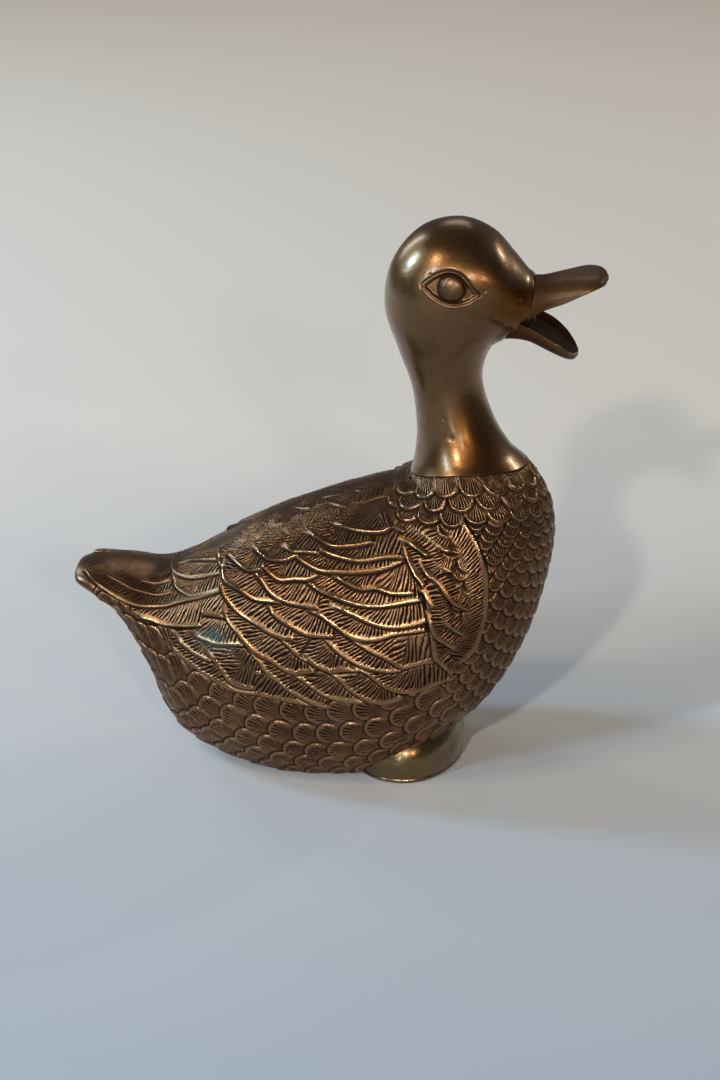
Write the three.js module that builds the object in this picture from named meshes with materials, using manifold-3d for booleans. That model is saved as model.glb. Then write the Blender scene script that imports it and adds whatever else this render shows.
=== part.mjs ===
import * as THREE from 'three';
import { mergeVertices } from 'three/addons/utils/BufferGeometryUtils.js';
import Module from 'manifold-3d';

// A cast bronze duck, sitting with its neck raised and its bill open.
// Millimetres, +Z up, the bill towards +X, the table at z = 0.
// It is cast in hollow pieces: a body with its main feathers in relief, and a smooth neck
// and head that stands in the body's collar on a turned spigot. The two halves of the bill,
// the eye beads and the front pad are pieces of their own.

const wasm = await Module();
wasm.setup();

// Castings
const WALL = 3.5;
const FIT_GAP = 0.3;
const RING_POINTS = 36;
const RINGS_PER_SPAN = 3;
const CORE_RING_POINTS = 24;
const CORE_RINGS_PER_SPAN = 2;
const BAR_SIDES = 32;
const TURNED_SIDES = 20;

// Widths of the figure
const BODY_WIDTH = 96;
const TAIL_WIDTH = 43;
const COLLAR_WIDTH = 54;
const NECK_WIDTH = 30;
const HEAD_WIDTH = 48;
const FOREHEAD_WIDTH = 21;

// The seam between body and neck: nearly level from nape to breast, and higher at the sides
const SEAM_BACK = { x: 25.7, z: 113.2 };
const SEAM_FRONT = { x: 70, z: 111.5 };
const SEAM_SIDE_RISE = 7.5;

// The turned spigot under the neck
const SPIGOT_DIAMETER = 30;
const SPIGOT_WALL = 2.6;
const SPIGOT_LENGTH = 8;
const SPIGOT_CENTRE_X = 45.5;
const SHOULDER_HEIGHT = 7.5;
const COLLAR_DEPTH = 10;

// Feathers, each highest along its lower edge and falling to the skin at its root. The skin
// they lie on is looked up among fine rings of points.
const FEATHER_RELIEF = 1.9;
const FEATHER_SPANS = 4;
const FEATHER_TIP_SHARE = 0.3;
const FEATHER_SWELL = 2.5;
const FEATHER_MIDDLE_SHARE = 0.6;
const FEATHER_SINK_SHARE = 0.3;
const TAIL_SPREAD = 11;
const WING_SPREAD = 14;
const SHOULDER_SPREAD = 7;
const SKIN_RING_POINTS = 120;
const SKIN_RINGS_PER_SPAN = 12;

// Eyes: a domed bead on a pin, in a counterbored socket
const EYE_DIAMETER = 8.8;
const EYE_DOME = 2.6;
const EYE_RIM_HEIGHT = 1;
const EYE_DOME_STEPS = 4;
const EYE_GROOVE = 1;
const EYE_SOCKET_DEPTH = 1.6;
const EYE_PIN_DIAMETER = 4;
const EYE_PIN_LENGTH = 4;
const EYE_X = 41.3;
const EYE_Z = 188.6;

// Bill
const BILL_THICKNESS = 2;
const BILL_WIDTH = 31;
const BILL_FULLNESS = 2.5;
const BILL_ARCH_STEPS = 6;
const BILL_RINGS_PER_SPAN = 2;
// Towards its tips the bill is as thin as this share of its own depth
const BILL_TIP_SHARE = 0.75;
const MOUTH_WIDTH = 13;
const MOUTH_HEIGHT = 7;
const MOUTH_Z = 175;

// Front pad, a smooth low dome that the breast rests on
const PAD_LENGTH = 45;
const PAD_WIDTH = 68;
const PAD_HEIGHT = 22;
const PAD_RIM_HEIGHT = 1.4;
const PAD_RIM_LEDGE = 1;
const PAD_FRONT_X = 47;
const PAD_FULLNESS = 3.4;
const PAD_SIDES = 36;
const PAD_LEVELS = 7;

// Stations of the figure from tail to bill. Each is an upright oval, square to the mirror plane:
// back x and z, belly x and z, belt share from back to belly, half width, and the fullness
// of its upper and lower half (2 is an ellipse).
const TAIL = [
  [-101, 69.5, -101, 68.5, 0.5, TAIL_WIDTH * 0.03, 2, 2],
  [-99.5, 72, -99.5, 66.5, 0.6, TAIL_WIDTH * 0.26, 2, 2],
  [-92, 73.5, -93, 62.5, 0.55, TAIL_WIDTH * 0.4, 2, 2],
  [-80, 73, -83, 54, 0.45, TAIL_WIDTH * 0.5, 2, 2],
  [-66, 72.5, -73.5, 36, 0.45, TAIL_WIDTH * 0.63, 2.1, 2],
];
const BODY = [
  [-48, 81, -61.5, 10.5, 0.5, BODY_WIDTH * 0.365, 2.2, 2.1],
  [-28, 93, -37.5, -2.5, 0.52, BODY_WIDTH * 0.44, 2.2, 2.25],
  [-7, 101.5, -8, -7.5, 0.52, BODY_WIDTH * 0.485, 2.2, 2.3],
  [9, 107, 22, -1.5, 0.53, BODY_WIDTH * 0.5, 2.1, 2.2],
  [17.5, 109.3, 52, 20.5, 0.52, BODY_WIDTH * 0.475, 2.1, 2],
  [21.5, 111, 68.5, 46, 0.5, BODY_WIDTH * 0.432, 2.1, 2],
  [24, 112, 77.5, 75, 0.5, BODY_WIDTH * 0.385, 2.1, 2],
  [25, 112.7, 79, 97, 0.5, BODY_WIDTH * 0.333, 2, 2],
  [25.7, 113.2, 71, 114, 0.5, COLLAR_WIDTH * 0.5, 2, 2],
];
const NECK = [
  [27.4, 120, 62.7, 123, 0.5, COLLAR_WIDTH * 0.38, 2, 2],
  [28, 131, 56.7, 133, 0.5, NECK_WIDTH * 0.55, 2, 2],
  [26, 146, 52.3, 145.5, 0.5, NECK_WIDTH * 0.5, 2, 2],
  [21, 160, 52.3, 154.5, 0.48, NECK_WIDTH * 0.57, 2, 2],
];
const HEAD = [
  [16, 176, 55.5, 162, 0.46, HEAD_WIDTH * 0.45, 2, 2],
  [18.5, 192, 60, 166, 0.45, HEAD_WIDTH * 0.5, 2, 2],
  [28.5, 204.3, 63.5, 168, 0.45, HEAD_WIDTH * 0.5, 2, 2],
  [42, 208.2, 66, 169, 0.45, HEAD_WIDTH * 0.46, 2, 2],
  [54, 204.3, 68, 169.5, 0.45, HEAD_WIDTH * 0.39, 2, 2],
  [62.3, 196, 69.5, 170, 0.45, HEAD_WIDTH * 0.3, 2, 2],
  [69, 188, 70.5, 171, 0.45, FOREHEAD_WIDTH * 0.5, 2, 2],
];
const FIGURE = [...TAIL, ...BODY, ...NECK, ...HEAD];
// The core stops short of the thin tail and of the solid root of the bill
const CORE = FIGURE.slice(TAIL.length - 1, FIGURE.length - 2);

// Stations of the bill, root to tip: x, height of the ridge or keel, height of the rims,
// half width as a share of BILL_WIDTH. The tips are rounded.
const UPPER_BILL = [
  [60, 185, 172, 0.34],
  [66.5, 186, 173.8, 0.37],
  [74, 187.3, 178.2, 0.42],
  [81, 188.8, 181.3, 0.47],
  [88, 190, 185, 0.5],
  [92.5, 190, 186.6, 0.43],
  [95, 189.3, 186.8, 0.29],
  [96, 188.4, 187, 0.1],
];
const LOWER_BILL = [
  [55, 165.2, 174, 0.3],
  [62, 165.2, 173.4, 0.38],
  [67, 164.9, 172.6, 0.45],
  [70, 164.2, 171.6, 0.49],
  [76.5, 161.3, 168.2, 0.53],
  [81.5, 158.9, 164.5, 0.46],
  [84.5, 158, 161.7, 0.3],
  [86, 158.4, 160.5, 0.1],
];

// Lower edges of the main feathers, from the free tip to the root, seen square from the side
// as x and z. The feather lies above its edge.
const TAIL_FEATHERS = [
  [[-62, 55], [-44, 46], [-8, 37]],
  [[-76, 61], [-63, 59], [-42, 61]],
  [[-93, 70], [-80, 65], [-65, 64.5], [-42, 72]],
];
const WING_FEATHERS = [
  [[-31, 55], [-17, 44], [12, 37.5]],
  [[-39, 68], [-28, 56], [0, 46]],
  [[-21, 62], [2, 48.5], [30, 41]],
  [[7, 54], [22, 44.5], [48, 47]],
  [[2, 67], [20, 56.5], [44, 55]],
  [[-44, 79], [-41, 72], [-28, 65], [-10, 60]],
  [[-24, 73], [-12, 65.5], [10, 62]],
  [[-6, 72], [10, 64], [40, 67]],
  [[-29, 81], [-15, 74.5], [6, 72]],
  [[-8, 81], [8, 75], [38, 79]],
  [[-27, 88], [-14, 83], [4, 82]],
  [[-6, 90], [10, 86], [34, 92]],
];
const SHOULDER_FEATHERS = [
  [[27, 96], [34, 78], [40, 52]],
  [[46, 53], [56, 77], [49, 99]],
];

const BRONZE = { color: 0x6f5633, roughness: 0.45, metalness: 1 };
const feathered = new THREE.MeshStandardMaterial({ ...BRONZE, roughness: 0.5 });
const polished = new THREE.MeshStandardMaterial({ ...BRONZE, color: 0x8a6a3d, roughness: 0.3 });

// Solids for joining and cutting

function toSolid(geometry) {
  const bare = geometry.index ? geometry.toNonIndexed() : geometry.clone();
  bare.deleteAttribute('normal');
  bare.deleteAttribute('uv');
  const merged = mergeVertices(bare, 1e-4);
  return new wasm.Manifold(new wasm.Mesh({
    numProp: 3,
    vertProperties: new Float32Array(merged.attributes.position.array),
    triVerts: new Uint32Array(merged.index.array),
  }));
}

function toGeometry(solid) {
  const { vertProperties, triVerts, numProp } = solid.getMesh();
  const positions = new Float32Array((vertProperties.length / numProp) * 3);
  for (let i = 0; i < positions.length / 3; i += 1) {
    positions.set(vertProperties.slice(i * numProp, i * numProp + 3), i * 3);
  }
  const geometry = new THREE.BufferGeometry();
  geometry.setAttribute('position', new THREE.BufferAttribute(positions, 3));
  geometry.setIndex(new THREE.BufferAttribute(new Uint32Array(triVerts), 1));
  const faceted = geometry.toNonIndexed();
  faceted.computeVertexNormals();
  return faceted;
}

// Skin through a list of closed rings of equal length, with flat ends
function skin(rings) {
  const size = rings[0].length;
  const positions = rings.flat().flatMap((p) => [p.x, p.y, p.z]);
  const faces = [];
  for (let i = 0; i + 1 < rings.length; i += 1) {
    for (let j = 0; j < size; j += 1) {
      const k = (j + 1) % size;
      const [a, b, c, d] = [i * size + j, i * size + k, (i + 1) * size + k, (i + 1) * size + j];
      faces.push(a, b, c, a, c, d);
    }
  }
  // Each end is closed by a ladder of faces between the two halves of its ring
  const last = (rings.length - 1) * size;
  for (let i = 0; i + 1 < size / 2; i += 1) {
    const [a, b, c, d] = [i, i + 1, size - 2 - i, size - 1 - i];
    faces.push(b, a, d, b, d, c);
    faces.push(last + a, last + b, last + c, last + a, last + c, last + d);
  }
  const geometry = new THREE.BufferGeometry();
  geometry.setAttribute('position', new THREE.Float32BufferAttribute(positions, 3));
  geometry.setIndex(faces);
  const solid = toSolid(geometry);
  return solid.volume() < 0 ? toSolid(flipped(geometry)) : solid;
}

function flipped(geometry) {
  const index = Array.from(geometry.index.array);
  for (let i = 0; i < index.length; i += 3) {
    [index[i + 1], index[i + 2]] = [index[i + 2], index[i + 1]];
  }
  geometry.setIndex(index);
  return geometry;
}

// Smooth rows between the stations, by a uniform Catmull-Rom curve in each column
function smoothRows(stations, perSpan) {
  const at = (i) => stations[Math.min(Math.max(i, 0), stations.length - 1)];
  const rows = [];
  for (let i = 0; i + 1 < stations.length; i += 1) {
    for (let step = 0; step < perSpan; step += 1) {
      const t = step / perSpan;
      const column = (value, k) => catmullRom(t, at(i - 1)[k], value, at(i + 1)[k], at(i + 2)[k]);
      rows.push(stations[i].map(column));
    }
  }
  rows.push(stations[stations.length - 1]);
  return rows;
}

function catmullRom(t, p0, p1, p2, p3) {
  const v0 = (p2 - p0) / 2;
  const v1 = (p3 - p1) / 2;
  return (2 * p1 - 2 * p2 + v0 + v1) * t ** 3 + (-3 * p1 + 3 * p2 - 2 * v0 - v1) * t ** 2 + v0 * t + p1;
}

const power = (value, exponent) => Math.sign(value) * Math.abs(value) ** exponent;

// One oval of the figure, drawn in by the inset on every side
function figureRing([backX, backZ, bellyX, bellyZ, belt, halfWidth, upper, lower], inset, count) {
  const back = new THREE.Vector3(backX, 0, backZ);
  const belly = new THREE.Vector3(bellyX, 0, bellyZ);
  const inward = belly.clone().sub(back).normalize().multiplyScalar(inset);
  back.add(inward);
  belly.sub(inward);
  const centre = back.clone().lerp(belly, belt);
  const ring = [];
  for (let i = 0; i < count; i += 1) {
    const angle = (i / count) * 2 * Math.PI;
    const fullness = 2 / (Math.cos(angle) >= 0 ? upper : lower);
    const rise = power(Math.cos(angle), fullness);
    const point = centre.clone().lerp(rise >= 0 ? back : belly, Math.abs(rise));
    point.y = (halfWidth - inset) * power(Math.sin(angle), fullness);
    ring.push(point);
  }
  return ring;
}

function figureSolid(stations, inset, perSpan, count) {
  return skin(smoothRows(stations, perSpan).map((row) => figureRing(row, inset, count)));
}

function block(x0, x1, y0, y1, z0, z1) {
  const box = new THREE.BoxGeometry(x1 - x0, y1 - y0, z1 - z0);
  box.translate((x0 + x1) / 2, (y0 + y1) / 2, (z0 + z1) / 2);
  return toSolid(box);
}

// An upright round bar
function uprightBar(diameter, x, z0, z1) {
  const bar = new THREE.CylinderGeometry(diameter / 2, diameter / 2, z1 - z0, BAR_SIDES);
  bar.rotateX(Math.PI / 2);
  bar.translate(x, 0, (z0 + z1) / 2);
  return toSolid(bar);
}

// The seam

const BEYOND = 150;
const seamSlope = (SEAM_FRONT.z - SEAM_BACK.z) / (SEAM_FRONT.x - SEAM_BACK.x);
const seamHeight = (x) => SEAM_BACK.z + seamSlope * (x - SEAM_BACK.x);

// Everything above the saddle-shaped seam, raised by an offset
function aboveSeam(offset) {
  const halfCollar = COLLAR_WIDTH / 2;
  const steps = 12;
  const shape = new THREE.Shape();
  shape.moveTo(-BEYOND, BEYOND);
  shape.lineTo(-BEYOND, SEAM_SIDE_RISE);
  for (let i = 0; i <= steps; i += 1) {
    const share = (2 * i) / steps - 1;
    shape.lineTo(share * halfCollar, SEAM_SIDE_RISE * share ** 2);
  }
  shape.lineTo(BEYOND, SEAM_SIDE_RISE);
  shape.lineTo(BEYOND, BEYOND);
  const length = 2 * BEYOND;
  const geometry = new THREE.ExtrudeGeometry(shape, { depth: length, bevelEnabled: false });
  geometry.translate(0, 0, -length / 2);
  // The outline's own x and y become the figure's y and z, and its depth runs along x
  geometry.applyMatrix4(new THREE.Matrix4().makeBasis(
    new THREE.Vector3(0, 1, 0),
    new THREE.Vector3(0, 0, 1),
    new THREE.Vector3(1, 0, 0),
  ));
  geometry.rotateY(-Math.atan(seamSlope));
  geometry.translate(SEAM_BACK.x, 0, SEAM_BACK.z + offset);
  return toSolid(geometry);
}

// The body

const outside = figureSolid(FIGURE, 0, RINGS_PER_SPAN, RING_POINTS);
const core = figureSolid(CORE, WALL, CORE_RINGS_PER_SPAN, CORE_RING_POINTS);
const belowTable = block(-BEYOND, BEYOND, -BEYOND, BEYOND, -BEYOND, 0);
const spigotTop = seamHeight(SPIGOT_CENTRE_X) + SHOULDER_HEIGHT;

// Points on the right side of the figure, each with the way out of the skin
function sideOfFigure(perSpan, count) {
  const rings = smoothRows(FIGURE, perSpan).map((row) => figureRing(row, 0, count));
  const places = [];
  rings.slice(1, -1).forEach((ring, i) => ring.forEach((point, j) => {
    if (point.y < 0) {
      const along = rings[i + 2][j].clone().sub(rings[i][j]);
      const around = ring[(j + 1) % count].clone().sub(ring[(j + count - 1) % count]);
      const outward = along.cross(around).normalize();
      outward.multiplyScalar(-Math.sign(outward.y));
      places.push({ point, outward });
    }
  }));
  return places;
}

const rightSide = sideOfFigure(SKIN_RINGS_PER_SPAN, SKIN_RING_POINTS);

function nearestOnSide(distanceTo) {
  const distances = rightSide.map(({ point }) => distanceTo(point));
  let best = 0;
  distances.forEach((distance, i) => {
    best = distance < distances[best] ? i : best;
  });
  return rightSide[best];
}

// The place on the right side that is at x and z, seen square from the side
function seat(x, z) {
  const { point, outward } = nearestOnSide((p) => Math.hypot(p.x - x, p.z - z));
  const y = point.y - (outward.x * (x - point.x) + outward.z * (z - point.z)) / outward.y;
  return { point: new THREE.Vector3(x, y, z), outward };
}

// The target moved onto the skin, then out of it by the height
function raisedFrom(target, height) {
  const { point, outward } = nearestOnSide((p) => p.distanceTo(target));
  const out = target.clone().sub(point).dot(outward);
  return target.clone().addScaledVector(outward, height - out);
}

// A wedge on the skin, from its lower edge up to its root
function makeFeather(edge, spread) {
  const line = new THREE.SplineCurve(edge.map(([x, z]) => new THREE.Vector2(x, z)));
  const rings = [];
  for (let i = 0; i <= FEATHER_SPANS; i += 1) {
    const share = i / FEATHER_SPANS;
    const { x, y: z } = line.getPoint(share);
    const heading = line.getTangent(share);
    const { point, outward } = seat(x, z);
    const along = new THREE.Vector3(heading.x, 0, heading.y);
    along.y = -along.dot(outward) / outward.y;
    const across = outward.clone().cross(along).normalize();
    // It swells from a narrow tip, and sinks into the skin at its far end
    const swell = Math.min(1, FEATHER_TIP_SHARE + FEATHER_SWELL * share);
    const height = FEATHER_RELIEF * (share < 1 ? swell : -FEATHER_SINK_SHARE);
    const width = spread * swell;
    const middle = point.clone().addScaledVector(across, width / 2);
    const root = point.clone().addScaledVector(across, width);
    rings.push([
      raisedFrom(point, -FEATHER_RELIEF),
      raisedFrom(point, height),
      raisedFrom(middle, height * FEATHER_MIDDLE_SHARE),
      raisedFrom(root, -FEATHER_RELIEF / 2),
    ]);
  }
  return skin(rings);
}

function makeFeathers() {
  const right = [
    ...TAIL_FEATHERS.map((edge) => makeFeather(edge, TAIL_SPREAD)),
    ...WING_FEATHERS.map((edge) => makeFeather(edge, WING_SPREAD)),
    ...SHOULDER_FEATHERS.map((edge) => makeFeather(edge, SHOULDER_SPREAD)),
  ].reduce((all, feather) => all.add(feather));
  return right.add(right.mirror([0, 1, 0]));
}

function makeBody() {
  const cavity = core.subtract(aboveSeam(-COLLAR_DEPTH));
  const boreFoot = SEAM_BACK.z - 2 * COLLAR_DEPTH;
  const bore = uprightBar(SPIGOT_DIAMETER + 2 * FIT_GAP, SPIGOT_CENTRE_X, boreFoot, BEYOND);
  return outside
    .add(makeFeathers())
    .subtract(aboveSeam(0))
    .subtract(cavity)
    .subtract(bore)
    .subtract(belowTable);
}

// Neck and head

// Places a thing made along +Z at the eye, pointing square out of the right cheek
function atEye(geometry) {
  const { point, outward } = seat(EYE_X, EYE_Z);
  const turn = new THREE.Quaternion().setFromUnitVectors(new THREE.Vector3(0, 0, 1), outward);
  geometry.applyQuaternion(turn);
  geometry.translate(point.x, point.y, point.z);
  return geometry;
}

const mirrored = (geometry) => flippedNonIndexed(geometry.clone().scale(1, -1, 1));

function flippedNonIndexed(geometry) {
  return flipped(mergeVertices(geometry.deleteAttribute('normal').deleteAttribute('uv'), 1e-4));
}

function eyeSocket() {
  const mouth = 2 * EYE_DOME;
  const wide = EYE_DIAMETER / 2 + EYE_GROOVE;
  const narrow = EYE_PIN_DIAMETER / 2 + FIT_GAP;
  const deep = -EYE_SOCKET_DEPTH - EYE_PIN_LENGTH - FIT_GAP;
  const floor = -EYE_SOCKET_DEPTH;
  const pinHole = [[0, deep], [narrow, deep], [narrow, floor]];
  return atEye(turned([...pinHole, [wide, floor], [wide, mouth], [0, mouth]]));
}

// A turned shape about +Z from radius and height pairs
function turned(profile) {
  const points = profile.map(([radius, height]) => new THREE.Vector2(radius, height));
  const geometry = new THREE.LatheGeometry(points, TURNED_SIDES);
  geometry.rotateX(Math.PI / 2);
  return geometry;
}

function makeNeck() {
  const low = seamHeight(SPIGOT_CENTRE_X) - SPIGOT_LENGTH;
  const spigot = uprightBar(SPIGOT_DIAMETER, SPIGOT_CENTRE_X, low, spigotTop);
  const boreDiameter = SPIGOT_DIAMETER - 2 * SPIGOT_WALL;
  const boreTop = spigotTop + SHOULDER_HEIGHT / 2;
  const spigotBore = uprightBar(boreDiameter, SPIGOT_CENTRE_X, low - FIT_GAP, boreTop);
  const cavity = core.intersect(aboveSeam(SHOULDER_HEIGHT));
  const throat = mouthHole();
  return outside
    .intersect(aboveSeam(FIT_GAP))
    .add(spigot)
    .subtract(spigotBore)
    .subtract(cavity)
    .subtract(throat)
    .subtract(toSolid(eyeSocket()))
    .subtract(toSolid(mirrored(eyeSocket())));
}

// The open throat behind the bill, an oval hole along x into the hollow head
function mouthHole() {
  const from = HEAD[4][0];
  const to = UPPER_BILL[2][0];
  const hole = new THREE.CylinderGeometry(0.5, 0.5, to - from, TURNED_SIDES);
  hole.rotateZ(Math.PI / 2);
  hole.scale(1, MOUTH_WIDTH, MOUTH_HEIGHT);
  hole.translate((from + to) / 2, 0, MOUTH_Z);
  return toSolid(hole);
}

// The bill

// A thin trough between a ridge line and its two rims: from above for the upper half of the
// bill, and the same thing hanging from its rims for the lower one
function trough(stations) {
  const half = BILL_ARCH_STEPS;
  const fullness = 2 / BILL_FULLNESS;
  const rings = smoothRows(stations, BILL_RINGS_PER_SPAN).map(([x, middle, rim, share]) => {
    const halfWidth = share * BILL_WIDTH;
    const reach = Math.abs(middle - rim);
    const thickness = Math.min(BILL_THICKNESS, reach * BILL_TIP_SHARE);
    const arch = (inset, i) => {
      const angle = (i / half) * (Math.PI / 2);
      const y = (halfWidth - inset) * power(Math.sin(angle), fullness);
      const rise = (reach - inset) * power(Math.cos(angle), fullness);
      return new THREE.Vector3(x, y, rim + Math.sign(middle - rim) * rise);
    };
    const ring = [];
    for (let i = -half; i <= half; i += 1) {
      ring.push(arch(0, i));
    }
    for (let i = half; i >= -half; i -= 1) {
      ring.push(arch(thickness, i));
    }
    return ring;
  });
  return skin(rings);
}

const headSeat = figureSolid(NECK.slice(-1).concat(HEAD), -FIT_GAP, RINGS_PER_SPAN, RING_POINTS);

function makeBill(stations) {
  return trough(stations).subtract(headSeat);
}

// The eye bead

function makeBead() {
  const foot = -EYE_SOCKET_DEPTH + FIT_GAP;
  const end = foot - EYE_PIN_LENGTH;
  const pin = EYE_PIN_DIAMETER / 2;
  const radius = EYE_DIAMETER / 2;
  const rim = foot + EYE_RIM_HEIGHT;
  const dome = [];
  for (let i = 0; i < EYE_DOME_STEPS; i += 1) {
    const angle = (i / EYE_DOME_STEPS) * (Math.PI / 2);
    dome.push([radius * Math.cos(angle), rim + (EYE_DOME - EYE_RIM_HEIGHT) * Math.sin(angle)]);
  }
  const stem = [[0, end], [pin, end], [pin, foot]];
  return atEye(turned([...stem, [radius, foot], ...dome, [0, foot + EYE_DOME]]));
}

// The front pad

function makePad() {
  const roundness = (share) => (1 - share ** PAD_FULLNESS) ** (1 / PAD_FULLNESS);
  const levels = [[0, 0], [PAD_RIM_HEIGHT, 0]];
  for (let i = 0; i <= PAD_LEVELS; i += 1) {
    const share = i / (PAD_LEVELS + 1);
    levels.push([PAD_RIM_HEIGHT + (PAD_HEIGHT - PAD_RIM_HEIGHT) * share, PAD_RIM_LEDGE, roundness(share)]);
  }
  const rings = levels.map(([z, ledge, scale = 1]) => Array.from({ length: PAD_SIDES }, (_, i) => {
    const angle = (i / PAD_SIDES) * 2 * Math.PI;
    const x = PAD_FRONT_X - PAD_LENGTH / 2 + (PAD_LENGTH / 2 - ledge) * scale * Math.cos(angle);
    return new THREE.Vector3(x, (PAD_WIDTH / 2 - ledge) * scale * Math.sin(angle), z);
  }));
  const bodySeat = figureSolid(BODY, -FIT_GAP, RINGS_PER_SPAN, RING_POINTS);
  return stack(rings).subtract(bodySeat).subtract(core);
}

// Skin through level rings, closed by flat ends
function stack(rings) {
  const laid = rings.map((ring) => ring.map((p) => new THREE.Vector3(p.z, p.x, p.y)));
  const solid = toGeometry(skin(laid)).applyMatrix4(new THREE.Matrix4().makeBasis(
    new THREE.Vector3(0, 0, 1),
    new THREE.Vector3(1, 0, 0),
    new THREE.Vector3(0, 1, 0),
  ));
  return toSolid(solid);
}

// Assembly, centred over its own length

const duck = new THREE.Group();
const tailX = FIGURE[0][0];
const billX = UPPER_BILL[UPPER_BILL.length - 1][0];
duck.position.x = -(tailX + billX) / 2;

function place(name, geometry, material) {
  const mesh = new THREE.Mesh(geometry, material);
  mesh.name = name;
  duck.add(mesh);
}

place('body_shell', toGeometry(makeBody()), feathered);
place('neck_head', toGeometry(makeNeck()), polished);
place('upper_bill', toGeometry(makeBill(UPPER_BILL)), polished);
place('lower_bill', toGeometry(makeBill(LOWER_BILL)), polished);
place('right_eye', toGeometry(toSolid(makeBead())), polished);
place('left_eye', toGeometry(toSolid(mirrored(makeBead()))), polished);
place('front_pad', toGeometry(makePad()), polished);

export default duck;
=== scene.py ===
"""Bronze duck figurine: chased feathers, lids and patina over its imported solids.

Lengths are in millimetres until a mesh is made, in the row frame. A point of the figure is found
from t, which runs from the tail to the bill, and from theta, which runs from the back to the belly.
"""

import math

import bpy
import numpy as np
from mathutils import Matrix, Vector
from mathutils.bvhtree import BVHTree


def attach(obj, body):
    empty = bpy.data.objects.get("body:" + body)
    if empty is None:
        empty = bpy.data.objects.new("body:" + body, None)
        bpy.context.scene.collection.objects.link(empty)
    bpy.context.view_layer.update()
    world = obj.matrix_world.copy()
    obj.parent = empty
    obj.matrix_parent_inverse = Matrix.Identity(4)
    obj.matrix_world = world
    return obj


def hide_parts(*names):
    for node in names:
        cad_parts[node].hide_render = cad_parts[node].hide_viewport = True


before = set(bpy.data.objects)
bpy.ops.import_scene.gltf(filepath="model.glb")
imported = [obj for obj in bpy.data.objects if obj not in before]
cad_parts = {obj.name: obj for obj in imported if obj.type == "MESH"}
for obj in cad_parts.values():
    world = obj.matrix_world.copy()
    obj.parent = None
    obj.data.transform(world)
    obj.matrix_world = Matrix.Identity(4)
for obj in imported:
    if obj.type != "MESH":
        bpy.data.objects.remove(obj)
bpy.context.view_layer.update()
rng = np.random.default_rng(11)

# Sizes that the solids share. The grids are the spacing of the points on the dressed skins, and the
# collar line is the photo's, which lies higher in front than the seam of the solids.
GRID = 0.32
HEAD_GRID = 0.26
SHIFT = 2.5
WALL = 3.5
FIT_GAP = 0.3
BODY_WIDTH = 96
TAIL_WIDTH = 43
COLLAR_WIDTH = 54
NECK_WIDTH = 30
HEAD_WIDTH = 48
FOREHEAD_WIDTH = 21
SEAM_BACK = (25.7, 113.2)
SEAM_FRONT = (70, 117)
SEAM_SIDE_RISE = 5

# Stations of the figure: back x, z, belly x, z, belt share, half width, upper and lower fullness
TAIL = [
    (-101, 69.5, -101, 68.5, 0.5, TAIL_WIDTH * 0.03, 2, 2),
    (-99.5, 72, -99.5, 66.5, 0.6, TAIL_WIDTH * 0.26, 2, 2),
    (-92, 73.5, -93, 62.5, 0.55, TAIL_WIDTH * 0.4, 2, 2),
    (-80, 73, -83, 54, 0.45, TAIL_WIDTH * 0.5, 2, 2),
    (-66, 72.5, -73.5, 36, 0.45, TAIL_WIDTH * 0.63, 2.1, 2),
]
BODY = [
    (-48, 81, -61.5, 10.5, 0.5, BODY_WIDTH * 0.365, 2.2, 2.1),
    (-28, 93, -37.5, -2.5, 0.52, BODY_WIDTH * 0.44, 2.2, 2.25),
    (-7, 101.5, -8, -7.5, 0.52, BODY_WIDTH * 0.485, 2.2, 2.3),
    (9, 107, 22, -1.5, 0.53, BODY_WIDTH * 0.5, 2.1, 2.2),
    (17.5, 109.3, 52, 20.5, 0.52, BODY_WIDTH * 0.475, 2.1, 2),
    (21.5, 111, 68.5, 46, 0.5, BODY_WIDTH * 0.432, 2.1, 2),
    (24, 112, 77.5, 75, 0.5, BODY_WIDTH * 0.385, 2.1, 2),
    (25, 112.7, 79, 97, 0.5, BODY_WIDTH * 0.333, 2, 2),
    (25.7, 113.2, 71, 114, 0.5, COLLAR_WIDTH * 0.5, 2, 2),
]
NECK = [
    (27.4, 120, 62.7, 123, 0.5, COLLAR_WIDTH * 0.38, 2, 2),
    (28, 131, 56.7, 133, 0.5, NECK_WIDTH * 0.55, 2, 2),
    (26, 146, 52.3, 145.5, 0.5, NECK_WIDTH * 0.5, 2, 2),
    (21, 160, 52.3, 154.5, 0.48, NECK_WIDTH * 0.57, 2, 2),
]
HEAD = [
    (16, 176, 55.5, 162, 0.46, HEAD_WIDTH * 0.45, 2, 2),
    (18.5, 192, 60, 166, 0.45, HEAD_WIDTH * 0.5, 2, 2),
    (28.5, 204.3, 63.5, 168, 0.45, HEAD_WIDTH * 0.5, 2, 2),
    (42, 208.2, 66, 169, 0.45, HEAD_WIDTH * 0.46, 2, 2),
    (54, 204.3, 68, 169.5, 0.45, HEAD_WIDTH * 0.39, 2, 2),
    (62.3, 196, 69.5, 170, 0.45, HEAD_WIDTH * 0.3, 2, 2),
    (69, 188, 70.5, 171, 0.45, FOREHEAD_WIDTH * 0.5, 2, 2),
]
FIGURE = TAIL + BODY + NECK + HEAD
T_SEAM = len(TAIL) + len(BODY) - 1
T_END = len(FIGURE) - 1

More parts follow.
